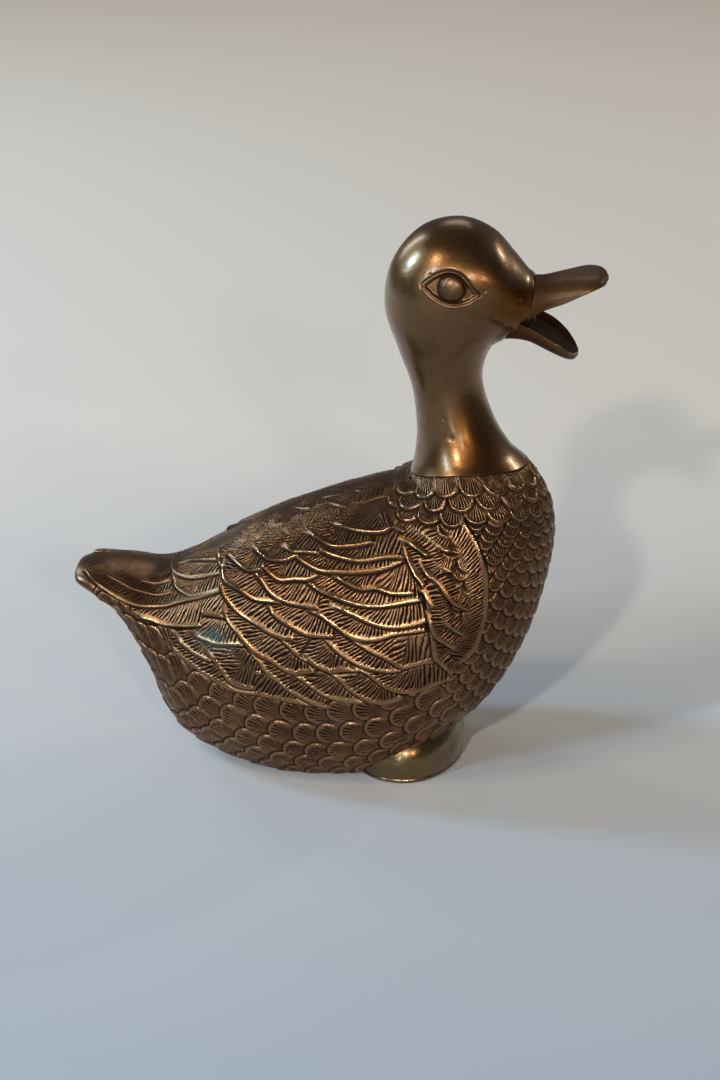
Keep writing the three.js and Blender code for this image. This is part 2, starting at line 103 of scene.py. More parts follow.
# Feather rims of the right side, from the free tip to the root: x and degrees from the back ridge
TAIL_RIMS = [
    [(-60, 86), (-52, 88), (-45, 90), (-34, 94), (-23, 94), (-10, 96), (2, 98)],
    [(-58, 77), (-50, 82), (-44, 84), (-38, 84), (-31, 86), (-23, 87)],
    [(-46, 79), (-42, 82), (-39, 86), (-36, 90), (-32, 92), (-26, 92)],
    [(-52, 72), (-46, 74), (-40, 76), (-35, 76), (-29, 76)],
    [(-55, 58), (-48, 60), (-43, 61), (-34, 64)],
    [(-74, 92), (-67, 80), (-62, 76), (-57, 72), (-52, 69), (-46, 67)],
    [
        (-94, 39), (-89, 65), (-82, 81), (-77, 82), (-71, 72), (-66, 64), (-60, 58), (-55, 53),
        (-48, 50), (-39, 48),
    ],
    [(-87, 36), (-82, 46), (-76, 53), (-70, 50), (-64, 48), (-59, 44)],
    [(-75, 34), (-71, 34), (-66, 34), (-60, 30)],
    [(-62, 0), (-60, 22), (-58, 37), (-55, 44), (-51, 48), (-45, 48), (-39, 47)],
    [(-61, 7), (-59, 22), (-54, 31), (-49, 34), (-44, 35), (-40, 36)],
    [(-60, 6), (-54, 11), (-48, 18), (-42, 24)],
]
LOWER_WING_RIMS = [
    [(-29, 76), (-24, 82), (-21, 86), (-15, 90), (-6, 95), (1, 98)],
    [(-19, 82), (-12, 86), (-5, 90), (2, 94), (8, 96), (15, 98)],
    [(-38, 56), (-36, 64), (-31, 72), (-26, 78), (-19, 82), (-12, 86), (-3, 86)],
    [(-20, 70), (-15, 74), (-9, 80), (-2, 84), (5, 88), (12, 94), (21, 101), (29, 104)],
    [(-8, 80), (-2, 84), (3, 86), (8, 86), (14, 87)],
    [(10, 84), (18, 90), (25, 98), (34, 106), (41, 110), (46, 114)],
    [(0, 74), (5, 79), (12, 84), (19, 88), (27, 92), (32, 94)],
    [(4, 70), (10, 75), (16, 80), (23, 86), (29, 92), (37, 97), (40, 100)],
]
UPPER_WING_RIMS = [
    [(-43, 12), (-41, 27), (-39, 37), (-39, 46), (-37, 53), (-32, 61), (-25, 67), (-18, 72), (-11, 74)],
    [(-22, 57), (-18, 64), (-12, 69), (-5, 73), (4, 74)],
    [(-8, 62), (-1, 66), (4, 70), (11, 75), (19, 78), (27, 80), (37, 86)],
    [(2, 62), (11, 67), (18, 72), (24, 76), (31, 80), (38, 84)],
    [(-40, 25), (-38, 42), (-32, 50), (-26, 56), (-20, 58), (-16, 59)],
    [(-28, 40), (-24, 47), (-20, 54), (-14, 59), (-6, 62), (-2, 63)],
    [(-8, 50), (-2, 56), (5, 60), (11, 63), (18, 66), (29, 71), (35, 75)],
    [(1, 49), (7, 54), (13, 58), (19, 60), (25, 65), (32, 70)],
    [(-26, 35), (-22, 43), (-17, 49), (-11, 50), (-6, 51), (-2, 50)],
    [(-14, 34), (-9, 42), (-2, 48), (5, 50), (14, 52), (21, 54), (29, 56)],
    [(-40, 19), (-36, 29), (-30, 40), (-24, 42)],
    [(-29, 25), (-23, 36), (-16, 40), (-11, 39)],
    [(-5, 36), (2, 42), (12, 47), (22, 50), (29, 55)],
    [(-18, 30), (-13, 36), (-8, 38), (-3, 40)],
    [(-9, 26), (-4, 32), (2, 38), (10, 40), (17, 41)],
    [(1, 25), (6, 30), (12, 34), (20, 38), (24, 38)],
]
WING_FRONT = [(28, 50), (32, 63), (35, 70), (37, 77), (38, 84), (39, 90), (40, 98), (43, 105), (46, 112)]
SHOULDER_RIMS = [
    [(24, 38), (30, 48), (35, 56), (39, 65), (45, 76)],
    [(27, 46), (31, 53), (36, 63), (41, 74), (46, 82)],
    [(34, 62), (37, 70), (41, 78), (46, 89), (52, 100)],
    [(35, 72), (37, 76), (40, 84), (44, 92), (51, 106), (53, 110)],
    [(37, 80), (40, 90), (44, 98), (49, 108)],
]
# The outer rim of the shoulder, as t and degrees
SHOULDER_RIDGE = [
    (11.99, 77), (11.63, 85), (11.33, 92), (11.06, 98), (10.84, 103), (10.59, 107), (10.38, 110),
    (10.04, 114), (9.67, 116), (9.32, 113),
]
BACK_RIMS = [
    [(-35, 3), (-32, 13), (-28, 18), (-23, 18)],
    [(-27, 6), (-23, 14), (-18, 17), (-13, 17), (-10, 16)],
    [(-15, 2), (-12, 7), (-7, 10), (-1, 9)],
    [(-5, 1), (-2, 4), (3, 5), (8, 3)],
    [(8, 5), (13, 11), (18, 13), (22, 12)],
    [(-29, 17), (-25, 24), (-21, 27), (-16, 29), (-11, 30)],
    [(-12, 14), (-8, 20), (-3, 22), (3, 22), (8, 21)],
    [(-1, 10), (4, 16), (9, 18), (15, 17), (20, 17)],
    [(-19, 19), (-16, 23), (-13, 25), (-8, 26), (-3, 26), (1, 25)],
]


def smoothstep(low, high, x):
    s = np.clip((x - low) / (high - low), 0, 1)
    return s * s * (3 - 2 * s)


def bump(x, centre, width):
    return np.exp(-(((x - centre) / width) ** 2))


def unit(v):
    return v / np.maximum(np.linalg.norm(v, axis=-1, keepdims=True), 1e-9)


def curve(knots, t):
    """Uniform Catmull-Rom curve through the knots, as the solids use."""
    p = np.asarray(knots, float)
    last = len(p) - 1
    t = np.clip(np.asarray(t, float), 0, last)
    i = np.minimum(t.astype(int), last - 1)
    u = (t - i)[..., None]
    p0, p1, p2, p3 = p[np.maximum(i - 1, 0)], p[i], p[i + 1], p[np.minimum(i + 2, last)]
    v0, v1 = (p2 - p0) / 2, (p3 - p1) / 2
    return (2 * p1 - 2 * p2 + v0 + v1) * u**3 + (3 * p2 - 3 * p1 - 2 * v0 - v1) * u**2 + v0 * u + p1


def figure(t, theta, inset=0.0):
    """Points on the right side of the figure."""
    row = curve(FIGURE, t)
    back, belly = row[..., 0:2], row[..., 2:4]
    inward = unit(belly - back) * inset
    back, belly = back + inward, belly - inward
    centre = back + (belly - back) * row[..., 4:5]
    c, s = np.cos(theta), np.sin(theta)
    fullness = 2 / np.where(c >= 0, row[..., 6], row[..., 7])
    side = np.where((c >= 0)[..., None], back, belly)
    xz = centre + (side - centre) * (np.abs(c) ** fullness)[..., None]
    y = -(row[..., 5] - inset) * np.abs(s) ** fullness
    return np.stack([xz[..., 0] + SHIFT, y, xz[..., 1]], -1)


def figure_normal(t, theta):
    theta = np.clip(theta, 0.02, math.pi - 0.02)
    along = figure(t + 0.02, theta) - figure(t - 0.02, theta)
    around = figure(t, theta + 0.01) - figure(t, theta - 0.01)
    return unit(np.cross(around, along))


def running_length(points):
    """The distance along a line of points, from the first one."""
    return np.concatenate([[0], np.cumsum(np.linalg.norm(np.diff(points, axis=0), axis=1))])


def spaced(t0, t1, angles, step):
    """Values of t at even distances along the figure, measured on a few lines."""
    t = np.linspace(t0, t1, 1500)
    total = np.mean([running_length(figure(t, np.full_like(t, a))) for a in np.radians(angles)], axis=0)
    return np.interp(np.linspace(0, total[-1], int(total[-1] / step) + 2), total, t)


def seam_height(x, y):
    slope = (SEAM_FRONT[1] - SEAM_BACK[1]) / (SEAM_FRONT[0] - SEAM_BACK[0])
    side_rise = SEAM_SIDE_RISE * np.minimum((y * 2 / COLLAR_WIDTH) ** 2, 1)
    return SEAM_BACK[1] + slope * (x - SHIFT - SEAM_BACK[0]) + side_rise


def seam_t(theta, offset):
    """The t at which the figure crosses the seam, for each theta."""
    t = np.linspace(T_SEAM - 0.6, T_SEAM + 1.6, 500)
    p = figure(t[:, None], theta[None])
    above = p[..., 2] - seam_height(p[..., 0], p[..., 1]) - offset
    k = np.clip(np.argmax(above > 0, axis=0), 1, len(t) - 1)
    j = np.arange(len(theta))
    share = above[k - 1, j] / (above[k - 1, j] - above[k, j])
    return t[k - 1] + (t[k] - t[k - 1]) * share


CHART_T = np.linspace(0, T_SEAM + 0.4, 671)
CHART_X = figure(CHART_T[:, None], np.radians(np.arange(181.0))[None])[..., 0]
CHART_X = np.maximum.accumulate(CHART_X, axis=0)


def find_t(x, degrees):
    """The t of a place on the body that is given by x and degrees from the back ridge."""
    low = int(degrees)
    a = np.interp(x, CHART_X[:, low], CHART_T)
    b = np.interp(x, CHART_X[:, min(low + 1, 180)], CHART_T)
    return a + (b - a) * (degrees - low)


def trace(rim, by_t=False, step=0.35):
    """A rim as points on the figure at even steps, with its normals, tangents and the way across."""
    knots = np.array([(x if by_t else find_t(x, d), math.radians(d)) for x, d in rim])
    fine = curve(knots, np.linspace(0, len(knots) - 1, 40 * len(knots)))
    total = running_length(figure(fine[:, 0], fine[:, 1]))
    at = np.linspace(0, total[-1], int(total[-1] / step) + 2)
    t, theta = np.interp(at, total, fine[:, 0]), np.interp(at, total, fine[:, 1])
    points = figure(t, theta)
    normal = figure_normal(t, theta)
    tangent = unit(np.gradient(points, axis=0))
    return points, normal, tangent, unit(np.cross(normal, tangent)), at


STROKE_SHARE = 0.33


def stroke_groove(phase, strength):
    """How deep the strokes are: one for each whole number of the phase, wider where it is stronger."""
    return smoothstep(0, 0.15, STROKE_SHARE * strength - np.abs(phase - np.floor(phase) - 0.5))


class Relief:
    """Height over the smooth right half of a skin, with the marks that its material reads."""

    def __init__(self, t, theta):
        self.t, self.theta = np.broadcast_arrays(t, theta)
        self.grid = figure(self.t, self.theta)
        normal = unit(np.cross(np.gradient(self.grid, axis=1), np.gradient(self.grid, axis=0)))
        normal[:, [0, -1], 1] = 0
        self.grid_normal = unit(normal)
        self.points = self.grid.reshape(-1, 3)
        self.normals = self.grid_normal.reshape(-1, 3)
        self.height = np.zeros(len(self.points))
        self.dark = self.height.copy()
        self.rubbed = self.height.copy()
        self.phase = self.height.copy()
        self.stroke = self.height.copy()

    def near(self, low, high):
        return np.flatnonzero(((self.points > low) & (self.points < high)).all(1))

    def cover_with(self, near, cover, shape, phase, stroke, dark, rubbed):
        """Lays a feather or a scale over what was there before."""
        self.height[near] += (shape - self.height[near]) * cover
        self.dark[near] += (dark - self.dark[near]) * cover
        self.rubbed[near] += (rubbed - self.rubbed[near]) * cover
        self.stroke[near] += (stroke - self.stroke[near]) * cover
        self.phase[near] = np.where(cover > 0.5, phase, self.phase[near])

    def shade_under(self, near, under, depth):
        """The shadowed line that a feather or a scale leaves outside its rim."""
        self.height[near] -= depth * under
        self.stroke[near] *= 1 - np.minimum(under * 1.5, 1)
        self.dark[near] = np.maximum(self.dark[near], 0.95 * under)

    def feather(
        self, rim, reach, lift, pitch=1.65, lean=(0.9, 0.25), base=0.0, depth=0.32, ridge=0.18,
        faint=0.0, soft=0.0, rise=6.0, by_t=False,
    ):
        """One feather, on the upper side of its rim, with a smooth edge and slanting strokes.

        The strokes lean by one share at the tip and another at the root. The feather fades in over
        the faint length and rises over the rise length. A soft one has weak strokes and a dull rim.
        """
        points, normal, tangent, across, at = trace(rim, by_t)
        near = self.near(points.min(0) - reach, points.max(0) + reach)
        v = self.points[near]
        k = np.argmin((points**2).sum(1)[None] - 2 * v @ points.T, axis=1)
        facing = (self.normals[near] * normal[k]).sum(1) > 0.25
        near, v, k = near[facing], v[facing], k[facing]
        r = v - points[k]
        s = at[k] + (r * tangent[k]).sum(1)
        d = (r * across[k]).sum(1)
        length = at[-1]
        ends = smoothstep(-0.9, 0.3, s) * (1 - smoothstep(length - 0.5, length + 1.5, s))
        fading = smoothstep(0, faint, s) if faint else 1.0
        risen = 0.3 + 0.7 * smoothstep(0, rise, s)
        slant = lean[0] + (lean[1] - lean[0]) * np.clip(s / length, 0, 1)
        phase = (s - slant * d) / pitch + 0.16 * np.sin(0.8 * s + rng.uniform(0, 6)) + 0.1 * np.sin(2.3 * s)
        number = np.floor(phase).astype(int) % 97
        first, strong = rng.uniform(1.35, 1.95, 97), rng.uniform(0.72, 1.05, 97)
        wave = 0.3 * np.sin(0.23 * s + rng.uniform(0, 6))
        stroke = smoothstep(first[number] - 0.35, first[number] + 0.5, d + wave) * strong[number] * fading
        stroke *= (1 - 0.75 * smoothstep(4, reach, d)) * (1 - soft)
        shape = base + lift * risen * (1 - np.clip(d, 0, reach) / reach)
        shape += ridge * bump(d, 0.7, 0.8) * risen * fading - depth * stroke_groove(phase, stroke)
        cover = smoothstep(-0.35, 0.15, d) * (1 - smoothstep(reach - 3, reach, d)) * ends
        rubbed = bump(d, 0.5, 0.6) * risen * fading * (1 - 2 * soft)
        self.cover_with(near, cover, shape, phase, stroke, 0.0, rubbed)
        self.shade_under(near, bump(d, -0.45, 0.34) * ends * fading * risen * (1 - soft), 0.4)

    def scale(
        self, t, theta, half_width, tip, root, lift, base, pitch, tilt=0.0, depth=0.22, ridge=0.3,
        start=1.1, fan=1.0,
    ):
        """One scale whose round tip points to the tail, turned up by the tilt, with fanned strokes."""
        t, theta = np.array(float(t)), np.array(float(theta))
        centre, normal = figure(t, theta), figure_normal(t, theta)
        rear = unit(figure(t - 0.02, theta) - figure(t + 0.02, theta))
        side = np.cross(normal, rear)
        out = rear * math.cos(tilt) - side * math.sin(tilt)
        side = np.cross(normal, out)
        reach = max(tip, half_width, root) + 2
        near = self.near(centre - reach, centre + reach)
        near = near[(self.normals[near] * normal).sum(1) > 0.4]
        r = self.points[near] - centre
        a, b = r @ out, r @ side
        f = np.sqrt((np.maximum(a, 0) / tip) ** 2 + (b / half_width) ** 2)
        edge = (1 - f) * min(tip, half_width)
        fade = smoothstep(-root - 1, -root + 1.2, a)
        cover = smoothstep(-0.3, 0.15, edge) * fade
        spread = 1 + fan * ((tip + root + 1.5) / np.maximum(a + root + 1.5, 1.5) - 1)
        phase = b * spread / pitch + rng.uniform(0.35, 0.65)
        number = np.floor(phase).astype(int) % 31
        first, strong = rng.uniform(start - 0.2, start + 0.6, 31), rng.uniform(0.7, 1.05, 31)
        stroke = smoothstep(first[number] - 0.3, first[number] + 0.4, edge) * strong[number]
        stroke *= 1 - 0.4 * smoothstep(tip * 0.6, -root, a)
        slope = np.clip((a + root) / (tip + root), 0, 1)
        shape = base + lift * (0.1 + 0.9 * slope) + ridge * bump(edge, 0.55, 0.42)
        shape -= depth * stroke_groove(phase, stroke)
        # A painted shade line just inside the scale's ridge, and rubbing along the ridge
        dark, rubbed = 0.2 * bump(edge, 1.3, 0.3), 0.8 * bump(edge, 0.4, 0.4)
        self.cover_with(near, cover, shape, phase, stroke, dark, rubbed)
        self.shade_under(near, bump(edge, -0.42, 0.33) * smoothstep(-2.5, 0, a), 0.3)

    def surface(self):
        grid = self.grid + self.grid_normal * self.height.reshape(self.t.shape)[..., None]
        grid[:, [0, -1], 1] = 0
        return grid

    def blurred(self, count):
        """The height, averaged with its neighbours a number of times."""
        h = self.height.reshape(self.t.shape)
        for _ in range(count):
            p = np.pad(h, 1, mode="edge")
            h = (p[:-2, 1:-1] + p[2:, 1:-1] + p[1:-1, :-2] + p[1:-1, 2:] + 2 * h) / 6
        return h.ravel()


# Meshes

parts = {}
MARKS = ("dark", "rubbed", "green", "warm", "phase", "stroke")


def add_part(name, points, faces, uv, smooth=True, **values):
    """Keeps a patch of a piece: its points, its faces and the place of each face corner on the texture."""
    parts.setdefault(name, []).append((points.reshape(-1, 3), faces, uv, smooth, values))


def grid_faces(rows, cols, wrap=False):
    """The four-sided faces of a grid of points, with its last column joined to its first if wrapped."""
    index = np.arange(rows * cols).reshape(rows, cols)
    wide = np.concatenate([index, index[:, :1]], axis=1) if wrap else index
    return np.stack([wide[:-1, :-1], wide[:-1, 1:], wide[1:, 1:], wide[1:, :-1]], -1).reshape(-1, 4)


def sheet(name, grid, box, wrap=False, keep=None, **values):
    """A grid of points as a patch, whose texture fills the box of two corners."""
    rows, cols = grid.shape[:2]
    faces = grid_faces(rows, cols, wrap)
    wide = cols + wrap
    r, c = np.meshgrid(np.linspace(box[1], box[3], rows), np.linspace(box[0], box[2], wide), indexing="ij")
    uv = np.stack([c, r], -1).reshape(-1, 2)[grid_faces(rows, wide)]
    if keep is not None:
        chosen = keep(grid.reshape(-1, 3)[faces])
        faces, uv = faces[chosen], uv[chosen]
    add_part(name, grid, faces, uv, **values)


def both_sides(half):
    """A right half of points or values, columns from back to belly, closed by its mirror image."""
    left = half[:, -2:0:-1].copy()
    if half.ndim == 3:
        left[..., 1] *= -1
    return np.concatenate([half, left], axis=1)


def finish_piece(name, material, replaces):
    """Makes one mesh object of the patches kept under the name."""
    points, loops, sizes, uvs, smooth = [], [], [], [], []
    values = {key: [] for key in MARKS}
    start = 0
    for p, faces, uv, is_smooth, given in parts[name]:
        points.append(p)
        loops.append(faces.ravel() + start)
        sizes.append(np.full(len(faces), faces.shape[1]))
        uvs.append(uv.reshape(-1, 2))
        smooth.append(np.full(len(faces), is_smooth))
        for key, column in values.items():
            column.append(np.broadcast_to(np.asarray(given.get(key, 0.0), float), len(p)))
        start += len(p)
    points, loops, sizes = np.concatenate(points) / 1000, np.concatenate(loops), np.concatenate(sizes)
    mesh = bpy.data.meshes.new(name)
    mesh.vertices.add(len(points))
    mesh.vertices.foreach_set("co", points.astype(np.float32).ravel())
    mesh.loops.add(len(loops))
    mesh.loops.foreach_set("vertex_index", loops.astype(np.int32))
    mesh.polygons.add(len(sizes))
    mesh.polygons.foreach_set("loop_start", (np.cumsum(sizes) - sizes).astype(np.int32))
    mesh.polygons.foreach_set("loop_total", sizes.astype(np.int32))
    mesh.polygons.foreach_set("use_smooth", np.concatenate(smooth))
    mesh.uv_layers.new(name="OFBake").data.foreach_set("uv", np.concatenate(uvs).astype(np.float32).ravel())
    for key, column in values.items():
        mark = mesh.attributes.new(key, "FLOAT", "POINT")
        mark.data.foreach_set("value", np.concatenate(column).astype(np.float32))
    mesh.update(calc_edges=True)
    mesh.validate()
    piece = bpy.data.objects.new(name, mesh)
    bpy.context.scene.collection.objects.link(piece)
    mesh.materials.append(material)
    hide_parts(replaces)
    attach(piece, "root")


def tree_of(grids, wrap=False):
    """A search tree over a few grids of points."""
    points, faces = [], []
    for grid in grids:
        faces += (grid_faces(*grid.shape[:2], wrap) + len(points)).tolist()
        points += [Vector(p) for p in grid.reshape(-1, 3)]
    return BVHTree.FromPolygons(points, faces)


# The smooth outside of the whole figure, for telling its faces from inner ones
coarse = figure(np.linspace(0, T_END, 150)[:, None], np.linspace(0, math.pi, 49)[None])
skin = tree_of([both_sides(coarse)], wrap=True)


def depth_inside(point):
    """How far a point lies under the figure's outside."""
    spot, normal, _, _ = skin.find_nearest(Vector(point))
    return -(Vector(point) - spot).dot(normal)


def inner_faces(name, node, wanted):
    """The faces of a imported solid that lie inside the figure: hollow, bore and spigot."""
    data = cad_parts[node].data
    points = np.zeros(len(data.vertices) * 3, np.float32)
    data.vertices.foreach_get("co", points)
    points = points.reshape(-1, 3) * 1000
    data.calc_loop_triangles()
    tris = np.zeros(len(data.loop_triangles) * 3, np.int32)
    data.loop_triangles.foreach_get("vertices", tris)
    tris = tris.reshape(-1, 3)
    middle = points[tris].mean(1)
    chosen = np.array([depth_inside(m) > 0.9 and wanted(m) for m in middle])
    tris = tris[chosen]
    spread = points[tris]
    angle = np.arctan2(spread[..., 1], spread[..., 2] - 60) / (2 * math.pi) + 0.5
    angle = np.where(angle - angle.mean(1, keepdims=True) > 0.5, angle - 1, angle)
    uv = np.stack([0.955 + 0.04 * np.clip(angle, 0, 1), (spread[..., 0] + 110) / 220], -1)
    add_part(name, points, tris, uv, smooth=False, dark=0.75)


# Body

theta_body = np.linspace(0, math.pi, int(158 / GRID))
t_body = spaced(0, T_SEAM, (60, 95, 130), GRID)[:, None]
seam_body = seam_t(theta_body, 0.0)
seam_body[0] = T_SEAM
last_span = T_SEAM - 1
t_body = np.where(t_body > last_span, last_span + (t_body - last_span) * (seam_body - last_span), t_body)
body = Relief(t_body, theta_body[None])


# Belly scales lie in rows along the flank, each row over the one above it
for row in range(-1, 9):
    stagger = 4.4 * (row % 2)
    for i in range(-2, 13):
        x = -66 + stagger + 9 * i + rng.uniform(-0.7, 0.7)
        degrees = 95 + 10.6 * row + 9 * (x + 60) / 104 + rng.uniform(-0.8, 0.8)
        if 60 < degrees < 178 and x < 52:
            body.scale(
                find_t(x, degrees), math.radians(degrees), 4.7, 4.4, 6.5, lift=0.8, base=-0.4, pitch=1.9,
                tilt=0.42, ridge=0.24, start=1.15, fan=0.8,
            )

# Breast scales hang in rings, each ring over the one below it
for ring, t in enumerate(np.arange(9.1, 12.3, 0.245)):
    around = np.radians(np.arange(60, 181, 0.5))
    total = running_length(figure(np.full_like(around, t), around))
    for at in np.arange(total[-1] - 3.4 * (ring % 2), 0, -6.8):
        theta = np.interp(at, total, around) + rng.uniform(-0.01, 0.01)
        body.scale(t, theta, 3.8, 4.0, 4.5, lift=0.65, base=-0.45, pitch=1.25, depth=0.2)

for rim in TAIL_RIMS[:6]:
    body.feather(rim, reach=11, lift=1.1, base=-0.1)
body.feather(TAIL_RIMS[6], reach=9, lift=0.9, base=-0.1, rise=1.0, soft=0.25)
for rim in TAIL_RIMS[7:]:
    body.feather(rim, reach=9, lift=0.5, base=-0.1, ridge=0.1, faint=10, soft=0.2)
for rim in BACK_RIMS:
    body.feather(rim, reach=10, lift=0.3, base=-0.05, ridge=0.06, depth=0.2, soft=0.35, pitch=1.8)
for rim in LOWER_WING_RIMS:
    body.feather(rim, reach=14, lift=1.4)
for rim in UPPER_WING_RIMS:
    body.feather(rim, reach=14, lift=1.3)
body.feather(WING_FRONT, reach=9, lift=1.2, pitch=1.4, lean=(0.2, 0.2))
for rim in SHOULDER_RIMS:
    body.feather(rim, reach=7, lift=0.9, base=0.3, pitch=1.3, lean=(0.3, 0.3), depth=0.25)
body.feather(
    SHOULDER_RIDGE[::-1], reach=9, lift=0.7, base=0.2, pitch=1.4, lean=(-0.6, -0.6), depth=0.28, by_t=True,
)

# Collar scales hang in rows under the neck's seam and leave the nape bare
column = np.radians(np.arange(24, 181, 0.5))
seam_column = seam_t(column, 0.0)
down = np.linspace(0, 3.0, 400)
falling = figure(seam_column[:, None] - down, column[:, None] + 0 * down)
fallen = np.concatenate([
    np.zeros((len(column), 1)),
    np.cumsum(np.linalg.norm(np.diff(falling, axis=1), axis=2), axis=1),
], axis=1)
for below, width, stagger in ((14.4, 8.6, 0.0), (9.0, 8.8, 0.5), (3.6, 8.8, 0.0)):
    t_row = seam_column - np.array([np.interp(below, f, down) for f in fallen])
    total = running_length(figure(t_row, column))
    count = int(total[-1] / width)
    for i in range(count + 1):
        at = min((i + stagger) * total[-1] / count, total[-1])
        theta = np.interp(at, total, column)
        large = 1 + 0.3 * float(smoothstep(50, 25, math.degrees(theta)))
        half_width, tip = width * rng.uniform(0.49, 0.56) * large, rng.uniform(4.2, 5.0) * large
        tilt = 0.35 * (large - 1) + rng.uniform(-0.12, 0.12)
        body.scale(
            np.interp(at, total, t_row), theta, half_width, tip, 5.5, lift=0.9, base=-0.3, pitch=1.35,
            tilt=tilt, depth=0.3,
        )

# Where the relief sinks below its surroundings it is darkened, patina together with painted shade; where it
# rises it is rubbed
relief_sharp = body.height - body.blurred(int(14 / GRID))
body.dark = np.clip(body.dark + np.clip(-relief_sharp * 1.6 - 0.1, 0, 0.7), 0, 1)
body_rubbed = np.clip(body.rubbed * 0.35 + relief_sharp - 0.05, 0, 1)
stain_distance = np.linalg.norm((body.points - [-41, -38, 57]) / [1.5, 1.6, 0.9], axis=1)
body_green = smoothstep(7.5, 2.0, stain_distance)

half = body.surface()
half[..., 2] = np.maximum(half[..., 2], 0)

# The open base: an oval hole with the wall's width round it
hole_t = np.linspace(4, 11, 400)
hole_theta = np.linspace(math.pi / 2, math.pi, 400)
core = figure(hole_t[:, None], hole_theta[None], WALL)
crossing = np.argmax(core[..., 2] < 0, axis=1)
hits = crossing > 0
outline = core[np.flatnonzero(hits), crossing[hits]]
outline = outline[np.argsort(outline[:, 0])]


def beside_hole(corners):
    """Which faces aren't in the open base."""
    flat = (corners[..., 2] < 0.001).all(1)
    middle = corners.mean(1)
    half_width = np.interp(middle[:, 0], outline[:, 0], -outline[:, 1], left=0, right=0)
    return ~(flat & (np.abs(middle[:, 1]) < half_width))


lip = figure(seam_body, theta_body, 3.0)
lip[:, 2] = half[-1, :, 2]
half = np.concatenate([half, lip[None]], axis=0)


def with_lip(values, lip_value=0.8):
    grid = values.reshape(body.t.shape)
    return both_sides(np.concatenate([grid, np.full_like(grid[-1:], lip_value)]))


def right_side_alone(values):
    """Marks with none on the mirrored left side, which the photo doesn't show, or on the lip."""
    grid = with_lip(values, 0)
    grid[:, body.t.shape[1]:] = 0
    return grid


sheet(
    "duck_body",
    both_sides(half),
    (0.002, 0.002, 0.948, 0.998),
    wrap=True,
    keep=beside_hole,
    dark=with_lip(body.dark).ravel(),
    rubbed=with_lip(body_rubbed).ravel(),
    green=right_side_alone(body_green).ravel(),
    phase=with_lip(body.phase).ravel(),
    stroke=with_lip(body.stroke).ravel(),
)
inner_faces("duck_body", "body_shell", lambda m: m[2] > 0.5)


# The two halves of the bill

BILL_WIDTH = 31
BILL_THICKNESS = 2
BILL_FULLNESS = 2.5
BILL_TIP_SHARE = 0.75
BILL_POINTS = 240
BILL_OUTER_POINTS = 118
# Stations of each half: x, ridge z, rim z and share of the bill's width
UPPER_BILL = [
    (60, 185, 172, 0.34), (66.5, 186, 173.8, 0.37), (74, 187.3, 178.2, 0.42), (81, 188.8, 181.3, 0.47),
    (88, 190, 185, 0.5), (92.5, 190, 186.6, 0.43), (95, 189.3, 186.8, 0.29), (96, 188.4, 187, 0.1),
]
LOWER_BILL = [
    (55, 165.2, 174, 0.3), (62, 165.2, 173.4, 0.38), (67, 164.9, 172.6, 0.45), (70, 164.2, 171.6, 0.49),
    (76.5, 161.3, 168.2, 0.53), (81.5, 158.9, 164.5, 0.46), (84.5, 158, 161.7, 0.3),
    (86, 158.4, 160.5, 0.1),
]


def rounded(ring):
    """A closed ring at even steps, with its corners eased."""
    closed = np.concatenate([ring, ring[:1]])
    total = running_length(closed)
    at = np.arange(BILL_POINTS) / BILL_POINTS * total[-1]
    out = np.stack([np.interp(at, total, closed[:, i]) for i in range(3)], -1)
    for _ in range(2):
        out = (np.roll(out, 1, 0) + out * 2 + np.roll(out, -1, 0)) / 4
    return out


def away_from_head(grid):
    """The bill's outside raised near the head, as the head is near the bill."""
    for i, j in np.argwhere(grid[:, :BILL_OUTER_POINTS, 0] < 84):
        distance = -depth_inside(grid[i, j])
        if -2 < distance < 7:
            middle = np.array([grid[i, j, 0], 0, grid[i, :BILL_OUTER_POINTS, 2].mean()])
            grid[i, j] += unit(grid[i, j] - middle) * 0.9 * math.exp(-((distance / 2.2) ** 2))
    return grid


def arch(station, inset=0.0, count=81):
    """The bill's line at a station, from one rim over the ridge to the other, thin at its rims."""
    x, middle, rim, share = station
    s = np.linspace(-1, 1, count) * math.pi / 2
    power = 2 / BILL_FULLNESS
    thin = inset * (1 - 0.6 * np.sin(s) ** 4)
    y = (share * BILL_WIDTH - thin) * np.sign(np.sin(s)) * np.abs(np.sin(s)) ** power
    reach = abs(middle - rim) - inset
    z = rim + math.copysign(1, middle - rim) * reach * np.abs(np.cos(s)) ** power
    return np.stack([np.full_like(s, x + SHIFT), y, z], -1)


def trough(name, stations, mouth_shade):
    """A thin trough between a ridge line and two rims, with a rounded tip."""
    rows = []
    for station in curve(stations, np.linspace(0, len(stations) - 1, 190)):
        thickness = min(BILL_THICKNESS, abs(station[1] - station[2]) * BILL_TIP_SHARE)
        rows.append(rounded(np.concatenate([arch(station), arch(station, thickness)[::-1]])))
    rows = list(away_from_head(np.stack(rows)))
    tip = rows[-1]
    centre = tip.mean(0)
    for angle in np.linspace(0.3, math.pi / 2, 7):
        rows.append(centre + (tip - centre) * math.cos(angle) + [0.3 * math.sin(angle), 0, 0])
    grid = np.stack(rows)
    column = np.arange(BILL_POINTS) / BILL_POINTS
    inner = smoothstep(0.5, 0.56, column) * (1 - smoothstep(0.94, 1.0, column))
    if stations[0][1] < stations[0][2]:
        grid, inner = grid[:, ::-1], inner[::-1]
    deep = smoothstep(1.0, 0.2, np.linspace(0, 1, len(rows)))[:, None]
    root = smoothstep(84, 74, grid[..., 0])
    edge = np.maximum(bump(column, 0.5, 0.014), bump(np.minimum(column, 1 - column), 0, 0.014)) * (1 - root)
    # Dark overall and darker near the head; the inside is painted shade, deepest towards the head end; the
    # rims' edges are rubbed and lighter
    dark = np.minimum(0.62 + 0.2 * root + inner[None] * (0.25 + mouth_shade * deep), 1) * (1 - 0.9 * edge)
    sheet(name, grid, (0.01, 0.01, 0.99, 0.99), wrap=True, dark=dark.ravel(), rubbed=edge.ravel())


